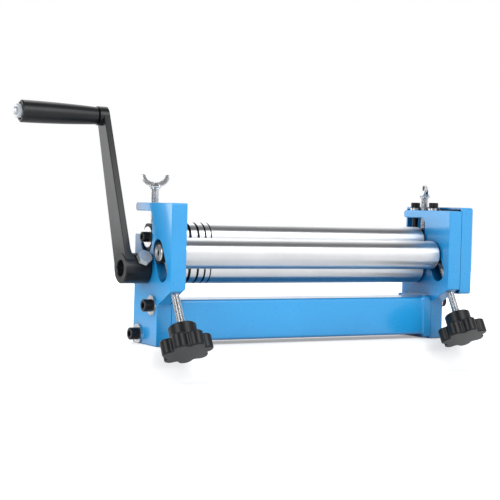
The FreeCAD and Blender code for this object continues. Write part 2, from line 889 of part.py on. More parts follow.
def crank_arm():
    hub_radius = hub_diameter / 2
    hub_end = outside_left - hub_gap
    outer = hub_outer + hub_proud
    inner = outer + arm_thickness
    arm = tapered_outline(-arm_inside_hub, outer, inner)
    arm = arm.makeFillet(arm_edge_round, face_edges(arm, outer) + face_edges(arm, inner))
    edge = arm_edge_round
    hub = turned(
        [(hub_outer, hub_radius - edge), (hub_outer + edge, hub_radius), (hub_end - edge, hub_radius),
         (hub_end, hub_radius - edge)],
        point(0, 0, lower_axis_height),
        point(1, 0, 0),
    )
    arm = arm.fuse(hub)
    web = [(outer + arm_thickness / 2, hub_radius + arm_web)]
    for i in range(7):
        turn = math.radians(15 * i)
        along = inner + arm_web * (1 - math.cos(turn))
        web.append((along, hub_radius + arm_web * (1 - math.sin(turn))))
    skirt = turned(web, point(0, 0, lower_axis_height), point(1, 0, 0))
    arm = arm.fuse(skirt.common(tapered_outline(-arm_inside_hub, outer, inner + arm_web)))
    boss_end = outer - grip_boss_length
    arm = arm.fuse(rod_x(arm_end_diameter, boss_end, inner - edge, crank_pin_back, crank_pin_height))
    arm = arm.removeSplitter()
    bore = journal_diameter + running_clearance
    chamfer = turned(
        [(hub_outer, bore / 2 + hub_bore_chamfer), (hub_outer + hub_bore_chamfer, bore / 2), (hub_end, bore / 2),
         (hub_end + cut_past, bore / 2)],
        point(0, 0, lower_axis_height),
        point(1, 0, 0),
    )
    arm = arm.cut(chamfer)
    thread = spindle_thread_diameter + 2 * running_clearance
    arm = arm.cut(rod_x(thread, boss_end - cut_past, inner + cut_past, crank_pin_back, crank_pin_height))
    tapped = clamp_bolt_diameter + 2 * running_clearance
    outside = clamp_start() + clamp_direction() * hub_diameter
    return arm.cut(rod(tapped, clamp_start(), outside))


def hexagon_head(across_flats, seat, top):
    """A hexagonal head or nut with its outer corners turned off."""
    outward = (top - seat).normalize()
    height = (top - seat).Length
    corner_radius = across_flats / math.sqrt(3)
    chamfer = (corner_radius - across_flats / 2) / 2
    dome = turned(
        [(0, corner_radius), (height - chamfer, corner_radius), (height, across_flats / 2)],
        seat,
        outward,
    )
    return hexagon(across_flats, seat, top).common(dome)


def clamp_bolt():
    outward = clamp_direction()
    seat = clamp_start() + outward * (hub_diameter / 2 + clamp_bolt_stand_off)
    top = seat + outward * clamp_bolt_head_height
    tip = clamp_start() + outward * (journal_radius - clamp_flat_depth + slide_clearance)
    inside_head = seat + outward * clamp_bolt_head_height / 2
    return hexagon_head(clamp_bolt_across_flats, seat, top).fuse(rod(clamp_bolt_diameter, tip, inside_head))


# Grip: a free-turning sleeve on a shouldered stud, kept on by a nut
def grip_inner():
    return hub_outer + hub_proud - grip_boss_length - grip_gap


def grip_outer():
    return grip_inner() - grip_length


def crank_grip():
    inner_radius = grip_inner_diameter / 2
    belly_radius = grip_belly_diameter / 2
    outer_radius = grip_outer_diameter / 2
    edge = grip_edge
    start = grip_inner()
    end = grip_outer()
    a = point(start, 0, inner_radius - edge)
    b = point(start - edge, 0, inner_radius)
    c = point(start - grip_belly_place * grip_length, 0, belly_radius)
    d = point(end + edge, 0, outer_radius)
    e = point(end, 0, outer_radius - edge)
    edges = [
        Part.LineSegment(point(start, 0, 0), a).toShape(),
        Part.LineSegment(a, b).toShape(),
        Part.Arc(b, c, d).toShape(),
        Part.LineSegment(d, e).toShape(),
        Part.LineSegment(e, point(end, 0, 0)).toShape(),
        Part.LineSegment(point(end, 0, 0), point(start, 0, 0)).toShape(),
    ]
    grip = Part.Face(Part.Wire(edges)).revolve(point(0, 0, 0), point(1, 0, 0), 360)
    bore = spindle_diameter + 2 * running_clearance
    grip = grip.cut(rod_x(bore, end - cut_past, start + cut_past, 0, 0))
    grip = grip.cut(rod_x(grip_recess_diameter, end - cut_past, end + grip_recess_depth, 0, 0))
    grip.translate(point(0, crank_pin_back, crank_pin_height))
    return grip


def nut_seat():
    return grip_outer() + grip_recess_depth - grip_gap


def grip_spindle():
    """A stud: threaded into the arm, a shoulder inside the grip, and a thread for the nut."""
    shoulder = hub_outer + hub_proud - grip_boss_length
    tip = shoulder + grip_boss_length + arm_thickness
    end = nut_seat() - grip_nut_height - stud_past_nut
    radius = spindle_thread_diameter / 2
    return turned(
        [(end, radius - thread_chamfer), (end + thread_chamfer, radius), (nut_seat(), radius),
         (nut_seat(), spindle_diameter / 2), (shoulder, spindle_diameter / 2), (shoulder, radius),
         (tip - thread_chamfer, radius), (tip, radius - thread_chamfer)],
        point(0, crank_pin_back, crank_pin_height),
        point(1, 0, 0),
    )


def grip_nut():
    seat = point(nut_seat(), crank_pin_back, crank_pin_height)
    top = point(nut_seat() - grip_nut_height, crank_pin_back, crank_pin_height)
    nut = hexagon_head(grip_nut_across_flats, seat, top)
    hole = spindle_thread_diameter + running_clearance
    return nut.cut(rod_x(hole, top.x - cut_past, seat.x + cut_past, crank_pin_back, crank_pin_height))


# Wing screws that press the upper roller's blocks down
def wing_screw(x, turn):
    collar = frame_height + wing_collar_above_frame
    hub = collar + wing_collar_height
    top = hub + wing_hub_height
    tip = block_top + screw_to_bush_gap
    thread = wing_thread_diameter / 2
    collar_radius = wing_collar_diameter / 2
    stem = turned(
        [(0, thread - thread_chamfer), (thread_chamfer, thread), (collar - tip, thread),
         (collar - tip, collar_radius), (hub - tip, collar_radius), (hub - tip, collar_radius - wing_collar_step),
         (top - tip, collar_radius - 2 * wing_collar_step)],
        point(0, 0, tip),
        point(0, 0, 1),
    )
    half = wing_span / 2
    lobe = wing_tip_round
    saddle = hub + wing_saddle_height
    for side in (1, -1):
        ear = [
            (thread / 4 * side, hub, 0),
            (wing_root_reach * side, hub, wing_root_round),
            (half * side, hub + wing_height - 1.6 * lobe, lobe),
            ((half - 1.4 * lobe) * side, hub + wing_height, lobe * 0.6),
            (wing_saddle_reach * side, saddle, wing_root_round),
            (thread / 4 * side, saddle, 0),
        ]
        face = rounded_face(ear, lambda p: point(p.x, -wing_thickness / 2, p.y))
        stem = stem.fuse(face.extrude(point(0, wing_thickness, 0)))
    stem.rotate(point(0, 0, 0), point(0, 0, 1), turn)
    stem.translate(point(x, 0, 0))
    return stem


# Star knobs on the screws that lift the bending roller
def knob_screw(x):
    tip = -bush_radius + bush_flat_depth - screw_to_bush_gap
    thread = knob_thread_diameter / 2
    return turned(
        [(0, thread - thread_chamfer), (thread_chamfer, thread), (knob_screw_length, thread)],
        bending_point(x, tip),
        along_screw * -1,
    )


def star_outline(place):
    """Round lobes joined by tangent valleys."""
    lobe_ring = knob_diameter / 2 - knob_lobe_radius
    valley_floor = knob_valley_diameter / 2
    half_step = math.pi / knob_lobes
    reach = lobe_ring * math.cos(half_step)
    fixed = lobe_ring ** 2 + valley_floor ** 2 - 2 * reach * valley_floor - knob_lobe_radius ** 2
    valley_radius = fixed / (2 * (knob_lobe_radius + reach - valley_floor))
    valley_ring = valley_floor + valley_radius

    def polar(radius, angle):
        return FreeCAD.Vector(radius * math.cos(angle), radius * math.sin(angle), 0)

    edges = []
    for i in range(knob_lobes):
        lobe_turn = 2 * i * half_step
        lobe = polar(lobe_ring, lobe_turn)
        before = polar(valley_ring, lobe_turn - half_step)
        after = polar(valley_ring, lobe_turn + half_step)
        share = knob_lobe_radius / (knob_lobe_radius + valley_radius)
        start = lobe + (before - lobe) * share
        end = lobe + (after - lobe) * share
        tip = polar(knob_diameter / 2, lobe_turn)
        edges.append(Part.Arc(place(start), place(tip), place(end)).toShape())
        next_lobe = polar(lobe_ring, lobe_turn + 2 * half_step)
        next_start = next_lobe + (after - next_lobe) * share
        floor = polar(valley_floor, lobe_turn + half_step)
        edges.append(Part.Arc(place(end), place(floor), place(next_start)).toShape())
    return Part.Face(Part.Wire(edges))


def star_knob(x, from_axis, turn):
    star = star_outline(lambda p: point(p.x, p.y, 0)).extrude(point(0, 0, knob_thickness))
    rims = [e for e in star.Edges if e.BoundBox.ZLength < 1e-4]
    star = star.makeFillet(knob_edge_round, rims)
    radius = knob_collar_diameter / 2
    top = knob_edge_round + knob_collar_height
    collar = turned(
        [(0, radius), (top - knob_collar_edge, radius), (top, radius - knob_collar_edge)],
        point(0, 0, knob_thickness - knob_edge_round),
        point(0, 0, 1),
    )
    star = star.fuse(collar)
    total = knob_thickness + knob_collar_height
    bore = knob_thread_diameter + running_clearance
    screw_end = knob_screw_length + bush_radius - bush_flat_depth + screw_to_bush_gap
    depth = screw_end - from_axis
    star = star.cut(rod_z(bore, total - depth - slide_clearance, total + cut_past, 0, 0))
    star.rotate(point(0, 0, 0), point(0, 0, 1), turn)
    base = bending_point(x, -from_axis - total)
    lean = FreeCAD.Rotation(point(0, 0, 1), along_screw)
    star.Placement = FreeCAD.Placement(base, lean).multiply(star.Placement)
    return star


def save(shape, name):
    shape.exportStep("parts/" + name + ".step")


os.makedirs("parts", exist_ok=True)

save(left_frame(), "left_frame")
save(right_frame(), "right_frame")
save(base_beam(), "base_beam")
save(beam_bolts(), "left_beam_bolts")
save(mirrored(beam_bolts()), "right_beam_bolts")
save(beam_washers(), "left_beam_washers")
save(mirrored(beam_washers()), "right_beam_washers")
save(tie_screws(), "tie_screws")
save(tie_washers(), "tie_washers")
save(lower_bush(), "left_lower_bush")
save(mirrored(lower_bush()), "right_lower_bush")
save(gear_cover(), "gear_cover")
save(cover_screws(), "cover_screws")

save(lower_roller(), "lower_roller")
save(spur_gear(lower_axis_height, 0), "lower_gear")
save(gear_key(lower_axis_height), "lower_gear_key")
save(circlip(lower_axis_height), "lower_gear_circlip")
save(crank_arm(), "crank_arm")
save(clamp_bolt(), "crank_clamp_bolt")
save(grip_spindle(), "grip_spindle")
save(grip_nut(), "grip_nut")
save(crank_grip(), "crank_grip")

save(upper_block(), "left_upper_block")
save(mirrored(upper_block()), "right_upper_block")
save(upper_roller(), "upper_roller")
save(spur_gear(upper_axis_height, 180 - 180 / gear_teeth), "upper_gear")
save(gear_key(upper_axis_height), "upper_gear_key")
save(circlip(upper_axis_height), "upper_gear_circlip")
save(upper_end_screw(), "upper_end_screw")
save(upper_end_washer(), "upper_end_washer")
save(wing_screw(0, left_wing_angle), "left_wing_screw")
save(wing_screw(middle_of_right_frame, right_wing_angle), "right_wing_screw")

save(bending_bush(), "left_bending_bush")
save(mirrored(bending_bush()), "right_bending_bush")
save(bending_roller(), "bending_roller")
save(knob_screw(0), "left_knob_screw")
save(knob_screw(middle_of_right_frame), "right_knob_screw")
save(star_knob(0, left_knob_from_axis, left_knob_angle), "left_star_knob")
save(star_knob(middle_of_right_frame, right_knob_from_axis, right_knob_angle), "right_star_knob")
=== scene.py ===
import json
import math

import bmesh
import bpy
from mathutils import Matrix, Vector


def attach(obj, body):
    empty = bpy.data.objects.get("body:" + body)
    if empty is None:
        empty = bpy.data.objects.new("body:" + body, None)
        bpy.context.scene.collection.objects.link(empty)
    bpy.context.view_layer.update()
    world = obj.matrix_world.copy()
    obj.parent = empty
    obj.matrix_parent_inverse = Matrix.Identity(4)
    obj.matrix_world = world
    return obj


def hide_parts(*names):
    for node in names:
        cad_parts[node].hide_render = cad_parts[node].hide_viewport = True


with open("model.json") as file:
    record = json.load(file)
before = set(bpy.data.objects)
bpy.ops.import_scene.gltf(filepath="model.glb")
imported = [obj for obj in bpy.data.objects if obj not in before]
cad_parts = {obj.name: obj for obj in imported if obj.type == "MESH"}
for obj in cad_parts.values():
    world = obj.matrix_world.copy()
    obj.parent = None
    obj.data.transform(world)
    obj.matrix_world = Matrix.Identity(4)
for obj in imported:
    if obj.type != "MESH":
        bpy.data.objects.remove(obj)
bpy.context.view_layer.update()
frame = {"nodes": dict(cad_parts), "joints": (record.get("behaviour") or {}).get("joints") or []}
nodes = frame["nodes"]
joints = {joint["name"]: joint for joint in frame["joints"]}


# The side frames are iron castings, the base beam is a welded square tube and the gear cover is a
# pressed steel box. All are powder coated in one mid blue, which dries with a faint orange peel.
# Shade is painted into the blue as a deep navy in the corners and between parts.
def ramp(tree, value, stops):
    """Colours along a value, changing evenly from one stop to the next."""
    node = tree.nodes.new("ShaderNodeValToRGB")
    elements = node.color_ramp.elements
    while len(elements) < len(stops):
        elements.new(0.5)
    for element, (position, colour) in zip(elements, stops):
        element.position = position
        element.color = (*colour, 1)
    tree.links.new(value, node.inputs["Fac"])
    return node.outputs["Color"]


def finish(
    name, dark, pale, patch, gloss, grain, depth,
    stretch=(1, 1, 1), metallic=0.0, coat=0.0, coat_gloss=0.12, shine=0.5,
):
    """A finish of two near tones in patches, an uneven gloss and a fine grain."""
    material = bpy.data.materials.new(name)
    material.use_nodes = True
    tree = material.node_tree
    shader = tree.nodes["Principled BSDF"]
    shader.inputs["Metallic"].default_value = metallic
    shader.inputs["Specular IOR Level"].default_value = shine
    shader.inputs["Coat Weight"].default_value = coat
    shader.inputs["Coat Roughness"].default_value = coat_gloss
    place = tree.nodes.new("ShaderNodeTexCoord")
    clouds = tree.nodes.new("ShaderNodeTexNoise")
    clouds.inputs["Scale"].default_value = 1 / patch
    clouds.inputs["Detail"].default_value = 3
    tree.links.new(place.outputs["Object"], clouds.inputs["Vector"])
    tones = ramp(tree, clouds.outputs["Fac"], ((0.3, dark), (0.7, pale)))
    tree.links.new(tones, shader.inputs["Base Color"])
    along = tree.nodes.new("ShaderNodeMapping")
    along.inputs["Scale"].default_value = stretch
    tree.links.new(place.outputs["Object"], along.inputs["Vector"])
    specks = tree.nodes.new("ShaderNodeTexNoise")
    specks.inputs["Scale"].default_value = 1 / grain
    specks.inputs["Detail"].default_value = 2
    tree.links.new(along.outputs["Vector"], specks.inputs["Vector"])
    sheen = tree.nodes.new("ShaderNodeMapRange")
    sheen.inputs["From Min"].default_value = 0.3
    sheen.inputs["From Max"].default_value = 0.7
    sheen.inputs["To Min"].default_value = gloss[0]
    sheen.inputs["To Max"].default_value = gloss[1]
    tree.links.new(specks.outputs["Fac"], sheen.inputs["Value"])
    tree.links.new(sheen.outputs["Result"], shader.inputs["Roughness"])
    bump = tree.nodes.new("ShaderNodeBump")
    bump.inputs["Strength"].default_value = 1.0
    bump.inputs["Distance"].default_value = depth
    tree.links.new(specks.outputs["Fac"], bump.inputs["Height"])
    tree.links.new(bump.outputs["Normal"], shader.inputs["Normal"])
    return material


def paint_in_shade(material, share, dark):
    """Paints shade into a finish: takes its colour towards a dark one where the share nears 0."""
    tree = material.node_tree
    base = tree.nodes["Principled BSDF"].inputs["Base Color"]
    mix = tree.nodes.new("ShaderNodeMix")
    mix.data_type = "RGBA"
    factor, at_none, at_full = mix.inputs[0], mix.inputs[6], mix.inputs[7]
    at_none.default_value = (*dark, 1)
    tree.links.new(share, factor)
    tree.links.new(base.links[0].from_socket, at_full)
    tree.links.new(mix.outputs[2], base)


def dress(material, *names):
    """Gives CAD pieces their finish."""
    for name in names:
        mesh = nodes[name].data
        mesh.materials.clear()
        mesh.materials.append(material)


# Painted shade: the deep navy that the blue turns to in corners and between parts.
corner_painted_shade_blue = (0.001, 0.028, 0.140)
painted_shade_reach = 0.035
edge_round = 0.0009
blue_paint = finish(
    "blue_powder_coat",
    dark=(0.008, 0.310, 0.700),
    pale=(0.014, 0.345, 0.760),
    patch=0.09,
    gloss=(0.27, 0.32),
    grain=0.0016,
    depth=0.000003,
    coat=0.6,
)
tree = blue_paint.node_tree
# Painted shade: the blue goes towards deep navy wherever other surfaces are near.
painted_corner_shade = tree.nodes.new("ShaderNodeAmbientOcclusion")
painted_corner_shade.samples = 8
painted_corner_shade.inputs["Distance"].default_value = painted_shade_reach
paint_in_shade(blue_paint, painted_corner_shade.outputs["AO"], corner_painted_shade_blue)
rounded = tree.nodes.new("ShaderNodeBevel")
rounded.samples = 6
rounded.inputs["Radius"].default_value = edge_round
bump = tree.nodes["Principled BSDF"].inputs["Normal"].links[0].from_node
tree.links.new(rounded.outputs["Normal"], bump.inputs["Normal"])
dress(blue_paint, "left_frame", "right_frame", "base_beam", "gear_cover")

# The frames are bolted to the beam and tied by black oxide socket screws. The
# washers under their heads are bright zinc.
black_screw_steel = finish(
    "black_oxide_screw",
    dark=(0.010, 0.010, 0.012),
    pale=(0.020, 0.020, 0.023),
    patch=0.004,
    gloss=(0.28, 0.42),
    grain=0.0004,
    depth=0.00001,
    metallic=0.6,
)
bright_zinc = finish(
    "bright_zinc_plate",
    dark=(0.60, 0.61, 0.63),
    pale=(0.74, 0.75, 0.77),
    patch=0.006,
    gloss=(0.18, 0.32),
    grain=0.0007,
    depth=0.00001,
    metallic=1.0,
)
dress(black_screw_steel, "left_beam_bolts", "right_beam_bolts", "tie_screws", "cover_screws")
dress(bright_zinc, "left_beam_washers", "right_beam_washers", "tie_washers")

# The bushes of the lower roller and of the bending roller are blackened steel,
# turned to size, pressed or slid into the frames and dull with oil.
black_bearing_steel = finish(
    "blackened_bearing_steel",
    dark=(0.012, 0.012, 0.014),
    pale=(0.028, 0.028, 0.032),
    patch=0.008,
    gloss=(0.35, 0.50),
    grain=0.0005,
    depth=0.00001,
    metallic=0.5,
)
dress(
    black_bearing_steel,
    "left_lower_bush", "right_lower_bush", "left_bending_bush", "right_bending_bush",
)


# The upper roller's sliding blocks are milled from the same blackened steel and
# rounded off at the top. They rise in the frames' notches.
merge_distance = 0.000002
sharp_edge = math.radians(32)


def piece(shape, name, material, body, node):
    """Makes the shape an object that stands for a CAD piece and moves with its body."""
    bmesh.ops.recalc_face_normals(shape, faces=shape.faces)
    mesh = bpy.data.meshes.new(name)
    shape.to_mesh(mesh)
    shape.free()
    mesh.shade_smooth()
    mesh.set_sharp_from_angle(angle=sharp_edge)
    mesh.materials.append(material)
    obj = bpy.data.objects.new(name, mesh)
    bpy.context.scene.collection.objects.link(obj)
    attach(obj, body)
    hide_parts(node)


block_half_width = 0.0115
block_top = 0.1169
block_round = 0.0075
dress(black_bearing_steel, "left_upper_block", "right_upper_block")
for side in ("left", "right"):
    shape = bmesh.new()
    shape.from_mesh(nodes[side + "_upper_block"].data)
    bmesh.ops.remove_doubles(shape, verts=shape.verts, dist=merge_distance)
    for back in (1, -1):
        centre = Vector((0, back * (block_half_width - block_round), block_top - block_round))
        for lean in (math.radians(20), math.radians(45), math.radians(70)):
            outward = Vector((0, back * math.sin(lean), math.cos(lean)))
            bmesh.ops.bisect_plane(
                shape,
                geom=shape.verts[:] + shape.edges[:] + shape.faces[:],
                plane_co=centre + outward * block_round,
                plane_no=outward,
                clear_outer=True,
            )
            bmesh.ops.holes_fill(shape, edges=[edge for edge in shape.edges if edge.is_boundary])
    piece(
        shape,
        side + "_rounded_block",
        black_bearing_steel,
        body="upper_carriage",
        node=side + "_upper_block",
    )


# The three rollers are steel bars, ground and polished. Shade is painted near black into the wire
# grooves and the small centre holes of the bars' ends.
# Painted shade: the near black of the grooves and the centre holes.
groove_painted_shade = (0.035, 0.036, 0.040)
bar_reach = 0.020
bright_at_radius = (
    (0.0024, 0), (0.0027, 1),
    (0.0131, 1), (0.0133, 0),
    (0.0147, 0), (0.0149, 1),
)


def ground_bar(name, axis_place):
    """Bright steel, with shade painted dark into the shallow grooves under the face and at the axis.
    """
    material = finish(
        name,
        dark=(0.73, 0.74, 0.76),
        pale=(0.80, 0.81, 0.83),
        patch=0.05,
        gloss=(0.30, 0.36),
        grain=0.0003,
        depth=0.0000005,
        stretch=(1, 0.02, 0.02),
        metallic=1.0,
    )
    tree = material.node_tree
    shader = tree.nodes["Principled BSDF"]
    around = tree.nodes.new("ShaderNodeTangent")
    around.direction_type = "RADIAL"
    around.axis = "X"
    tree.links.new(around.outputs["Tangent"], shader.inputs["Tangent"])
    shader.inputs["Anisotropic"].default_value = 0.9
    shader.inputs["Anisotropic Rotation"].default_value = 0.25
    place = tree.nodes.new("ShaderNodeTexCoord")
    from_axis = tree.nodes.new("ShaderNodeVectorMath")
    from_axis.operation = "SUBTRACT"
    from_axis.inputs[1].default_value = axis_place
    tree.links.new(place.outputs["Object"], from_axis.inputs[0])
    across = tree.nodes.new("ShaderNodeVectorMath")
    across.operation = "MULTIPLY"
    across.inputs[1].default_value = (0, 1, 1)
    tree.links.new(from_axis.outputs["Vector"], across.inputs[0])
    radius = tree.nodes.new("ShaderNodeVectorMath")
    radius.operation = "LENGTH"
    tree.links.new(across.outputs["Vector"], radius.inputs[0])
    scaled = tree.nodes.new("ShaderNodeMath")
    scaled.operation = "MULTIPLY"
    scaled.inputs[1].default_value = 1 / bar_reach
    tree.links.new(radius.outputs["Value"], scaled.inputs[0])
    stops = [(reach / bar_reach, (bright, bright, bright)) for reach, bright in bright_at_radius]
    # Painted shade in the grooves and at the axis.
    paint_in_shade(material, ramp(tree, scaled.outputs["Value"], stops), groove_painted_shade)
    return material


for roller, turning in (
    ("lower_roller", "crank_turn"),
    ("upper_roller", "upper_spin"),
    ("bending_roller", "bending_spin"),
):
    dress(ground_bar("ground_" + roller, joints[turning]["pos_m"]), roller)

# The gears are machined steel, left as cut and oiled, with their keys. Spring
# steel rings keep them on their shafts.
gear_steel = finish(
    "cut_gear_steel",
    dark=(0.22, 0.22, 0.24),
    pale=(0.34, 0.34, 0.36),
    patch=0.01,
    gloss=(0.25, 0.40),
    grain=0.0006,
    depth=0.00001,
    metallic=1.0,
)
spring_steel = finish(
    "oiled_spring_steel",
    dark=(0.05, 0.05, 0.055),
    pale=(0.10, 0.10, 0.11),
    patch=0.005,
    gloss=(0.25, 0.38),
    grain=0.0005,
    depth=0.00001,
    metallic=1.0,
)
dress(gear_steel, "lower_gear", "upper_gear", "lower_gear_key", "upper_gear_key")
dress(spring_steel, "lower_gear_circlip", "upper_gear_circlip")

# The crank is an iron casting in satin black enamel, clamped by a zinc-plated
# hexagon bolt. Its grip is a black moulding on a zinc-plated stud with a nut.
black_enamel = finish(
    "black_crank_enamel",
    dark=(0.006, 0.007, 0.008),
    pale=(0.010, 0.011, 0.013),
    patch=0.03,
    gloss=(0.28, 0.36),
    grain=0.0012,
    depth=0.00001,
    coat=0.12,
    shine=0.3,
)
dull_zinc = finish(
    "dull_zinc_plate",
    dark=(0.52, 0.55, 0.58),
    pale=(0.66, 0.69, 0.72),
    patch=0.006,
    gloss=(0.42, 0.52),
    grain=0.0006,
    depth=0.00001,
    metallic=0.9,
)
black_moulding = finish(
    "black_moulding",
    dark=(0.006, 0.007, 0.008),
    pale=(0.010, 0.011, 0.013),
    patch=0.02,
    gloss=(0.28, 0.38),
    grain=0.0007,
    depth=0.000006,
    shine=0.3,
)
dress(black_enamel, "crank_arm")
dress(dull_zinc, "crank_clamp_bolt", "grip_spindle", "grip_nut")
dress(black_moulding, "crank_grip")

# The upper roller's left end is held by a black oxide socket screw, on a wide
# turned washer in bright zinc.
dress(black_screw_steel, "upper_end_screw")
dress(bright_zinc, "upper_end_washer")

# The wing screws are zinc plated castings with a rolled M8 thread. The boss is a
# shallow dish, and the two wings curve up from it and thin towards their tips.
screw_radius = 0.00397
screw_pitch = 0.00125
steps_a_turn = 24
thread_outline = ((0, 0), (0.15, 0), (0.45, 1), (0.60, 1), (1, 0))


def thread(shape, start, axis, turns):
    """A rolled thread, as one pitch of its outline spun along the axis."""
    depth = 0.6 * screw_pitch
    side = axis.orthogonal().normalized()
    verts = []
    for along, crest in thread_outline:
        reach = screw_radius - depth * (1 - crest)
        verts.append(shape.verts.new(start + axis * along * screw_pitch + side * reach))
    edges = [shape.edges.new(pair) for pair in zip(verts, verts[1:])]
    bmesh.ops.spin(
        shape,
        geom=verts + edges,
        cent=start,
        axis=axis,
        dvec=axis * (screw_pitch / steps_a_turn),
        angle=2 * math.pi * turns,
        steps=steps_a_turn * turns,
    )
    bmesh.ops.remove_doubles(shape, verts=shape.verts, dist=merge_distance)
    bmesh.ops.holes_fill(shape, edges=[edge for edge in shape.edges if edge.is_boundary])


wing_tip = 0.117
wing_thread_turns = 27
wing_boss = 0.150
boss_steps = 40
millimetre = 0.001
boss_outline = (
    (0, 0), (4.6, 0), (4.9, 0.3), (4.9, 1.3), (5.5, 1.8), (5.75, 2.2),
    (5.75, 3.0), (5.4, 3.5), (4.4, 4.4), (3.4, 5.6), (2.2, 6.6), (0, 6.9),
)
ear_outline = (
    (0.8, 2.6), (5.6, 2.5), (8.8, 4.0), (11.4, 6.4), (13.3, 9.4), (14.0, 12.2), (13.4, 13.8),
    (11.6, 14.4), (9.6, 13.8), (8.2, 11.6), (6.6, 8.8), (4.0, 7.2), (0.8, 7.0),
)
ear_foot = 0.0025
ear_height = 0.0119
ear_half_thick = 0.0026
ear_thinning = 0.0014
ear_edge_round = 0.0006


def ear(boss, side):
    """One wing: its outline given a thickness that falls towards the tip, with a soft rim."""
    outline = []
    for reach, rise in ear_outline:
        outline.append(boss.verts.new((side * reach * millimetre, 0, wing_boss + rise * millimetre)))
    face = boss.faces.new(outline)
    wing = bmesh.ops.extrude_face_region(boss, geom=[face])["geom"]
    other_side = [item for item in wing if isinstance(item, bmesh.types.BMVert)]
    for back, group in ((1, other_side), (-1, outline)):
        for vert in group:
            risen = (vert.co.z - wing_boss - ear_foot) / ear_height
            vert.co.y = back * (ear_half_thick - ear_thinning * risen)
    rim = [
        edge for edge in boss.edges
        if edge.verts[0].co.y * edge.verts[1].co.y > 0 and len(edge.link_faces) == 2
        and min(len(link.verts) for link in edge.link_faces) == 4
        and max(len(link.verts) for link in edge.link_faces) > 4
        and edge.verts[0].co.x * side > 0
    ]
    bmesh.ops.bevel(
        boss,
        geom=rim,
        offset=ear_edge_round,
        offset_type="OFFSET",
        segments=2,
        profile=0.5,
        affect="EDGES",
        material=-1,
    )


def wing_screw(side, turn):
    """A threaded screw and its boss with two wings, turned about the screw's axis."""
    boss = bmesh.new()
    verts = []
    for reach, rise in boss_outline:
        verts.append(boss.verts.new((reach * millimetre, 0, wing_boss + rise * millimetre)))
    edges = [boss.edges.new(pair) for pair in zip(verts, verts[1:])]
    bmesh.ops.spin(
        boss,
        geom=verts + edges,
        cent=(0, 0, 0),
        axis=(0, 0, 1),
        angle=2 * math.pi,
        steps=boss_steps,
        use_merge=True,
    )
    bmesh.ops.remove_doubles(boss, verts=boss.verts, dist=merge_distance)
    ear(boss, 1)
    ear(boss, -1)
    boss_mesh = bpy.data.meshes.new("boss")
    boss.to_mesh(boss_mesh)
    boss.free()
    shape = bmesh.new()
    thread(shape, Vector((0, 0, wing_tip)), Vector((0, 0, 1)), wing_thread_turns)
    shape.from_mesh(boss_mesh)
    bpy.data.meshes.remove(boss_mesh)
    turned = Matrix.Rotation(turn, 3, "Z")
    bmesh.ops.rotate(shape, cent=(0, 0, 0), matrix=turned, verts=shape.verts)
    across = joints[side + "_wing_turn"]["pos_m"][0]
    bmesh.ops.translate(shape, vec=(across, 0, 0), verts=shape.verts)
    piece(
        shape,
        side + "_wing_casting",
        bright_zinc,
        body=side + "_wing",
        node=side + "_wing_screw",
    )


wing_screw("left", math.radians(-29.6))
wing_screw("right", math.radians(60.4))

# The star knobs are black mouldings on zinc-plated M8 screws, threaded from end
# to end, that lean forwards with the slots.
slot_down = -Vector(joints["bending_slide"]["axis"])
knob_thread_start = 0.0096
knob_thread_turns = 61
for side in ("left", "right"):
    shape = bmesh.new()
    bush_centre = Vector(joints[side + "_knob_turn"]["pos_m"])
    thread(shape, bush_centre + slot_down * knob_thread_start, slot_down, knob_thread_turns)
    piece(
        shape,
        side + "_knob_thread",
        bright_zinc,
        body=side + "_knob",
        node=side + "_knob_screw",
    )
dress(black_moulding, "left_star_knob", "right_star_knob")

# The floor is one pale matt sheet: level under the feet and falling away in front,
# so that the knobs hang clear, and at the left, where the crank still dips into
# it when it points down. It brightens away from the machine, up to the white.
floor_grey = (0.82, 0.82, 0.82)
bright_centre = (0.15, 0, 0)
bright_from, bright_to = 0.26, 0.60
bright_near, bright_far = 0.32, 1.0
floor_material = bpy.data.materials.new("pale_floor")
floor_material.use_nodes = True
tree = floor_material.node_tree
tree.nodes.clear()
output = tree.nodes.new("ShaderNodeOutputMaterial")
matt = tree.nodes.new("ShaderNodeBsdfDiffuse")
matt.inputs["Color"].default_value = (*floor_grey, 1)
lift = tree.nodes.new("ShaderNodeEmission")
rays = tree.nodes.new("ShaderNodeLightPath")
place = tree.nodes.new("ShaderNodeTexCoord")
away = tree.nodes.new("ShaderNodeVectorMath")
away.operation = "DISTANCE"
away.inputs[1].default_value = bright_centre
tree.links.new(place.outputs["Object"], away.inputs[0])
fade = tree.nodes.new("ShaderNodeMapRange")
fade.inputs["From Min"].default_value = bright_from
fade.inputs["From Max"].default_value = bright_to
fade.inputs["To Min"].default_value = bright_near
fade.inputs["To Max"].default_value = bright_far
tree.links.new(away.outputs["Value"], fade.inputs["Value"])
share = tree.nodes.new("ShaderNodeMath")
share.operation = "MULTIPLY"
both = tree.nodes.new("ShaderNodeAddShader")
tree.links.new(rays.outputs["Is Camera Ray"], share.inputs[0])
tree.links.new(fade.outputs["Result"], share.inputs[1])
tree.links.new(share.outputs["Value"], lift.inputs["Strength"])
tree.links.new(matt.outputs["BSDF"], both.inputs[0])
tree.links.new(lift.outputs["Emission"], both.inputs[1])
tree.links.new(both.outputs["Shader"], output.inputs["Surface"])

floor_half = 1.5
floor_cells = 240
front_edge = -0.031
front_fall = 0.0285
front_slope = 0.03
left_edge = -0.014
left_fall = 0.110
left_slope = 0.10


def eased(part):
    """Goes from 0 to 1 with a level start and end."""
    part = min(max(part, 0), 1)
    return part * part * (3 - 2 * part)


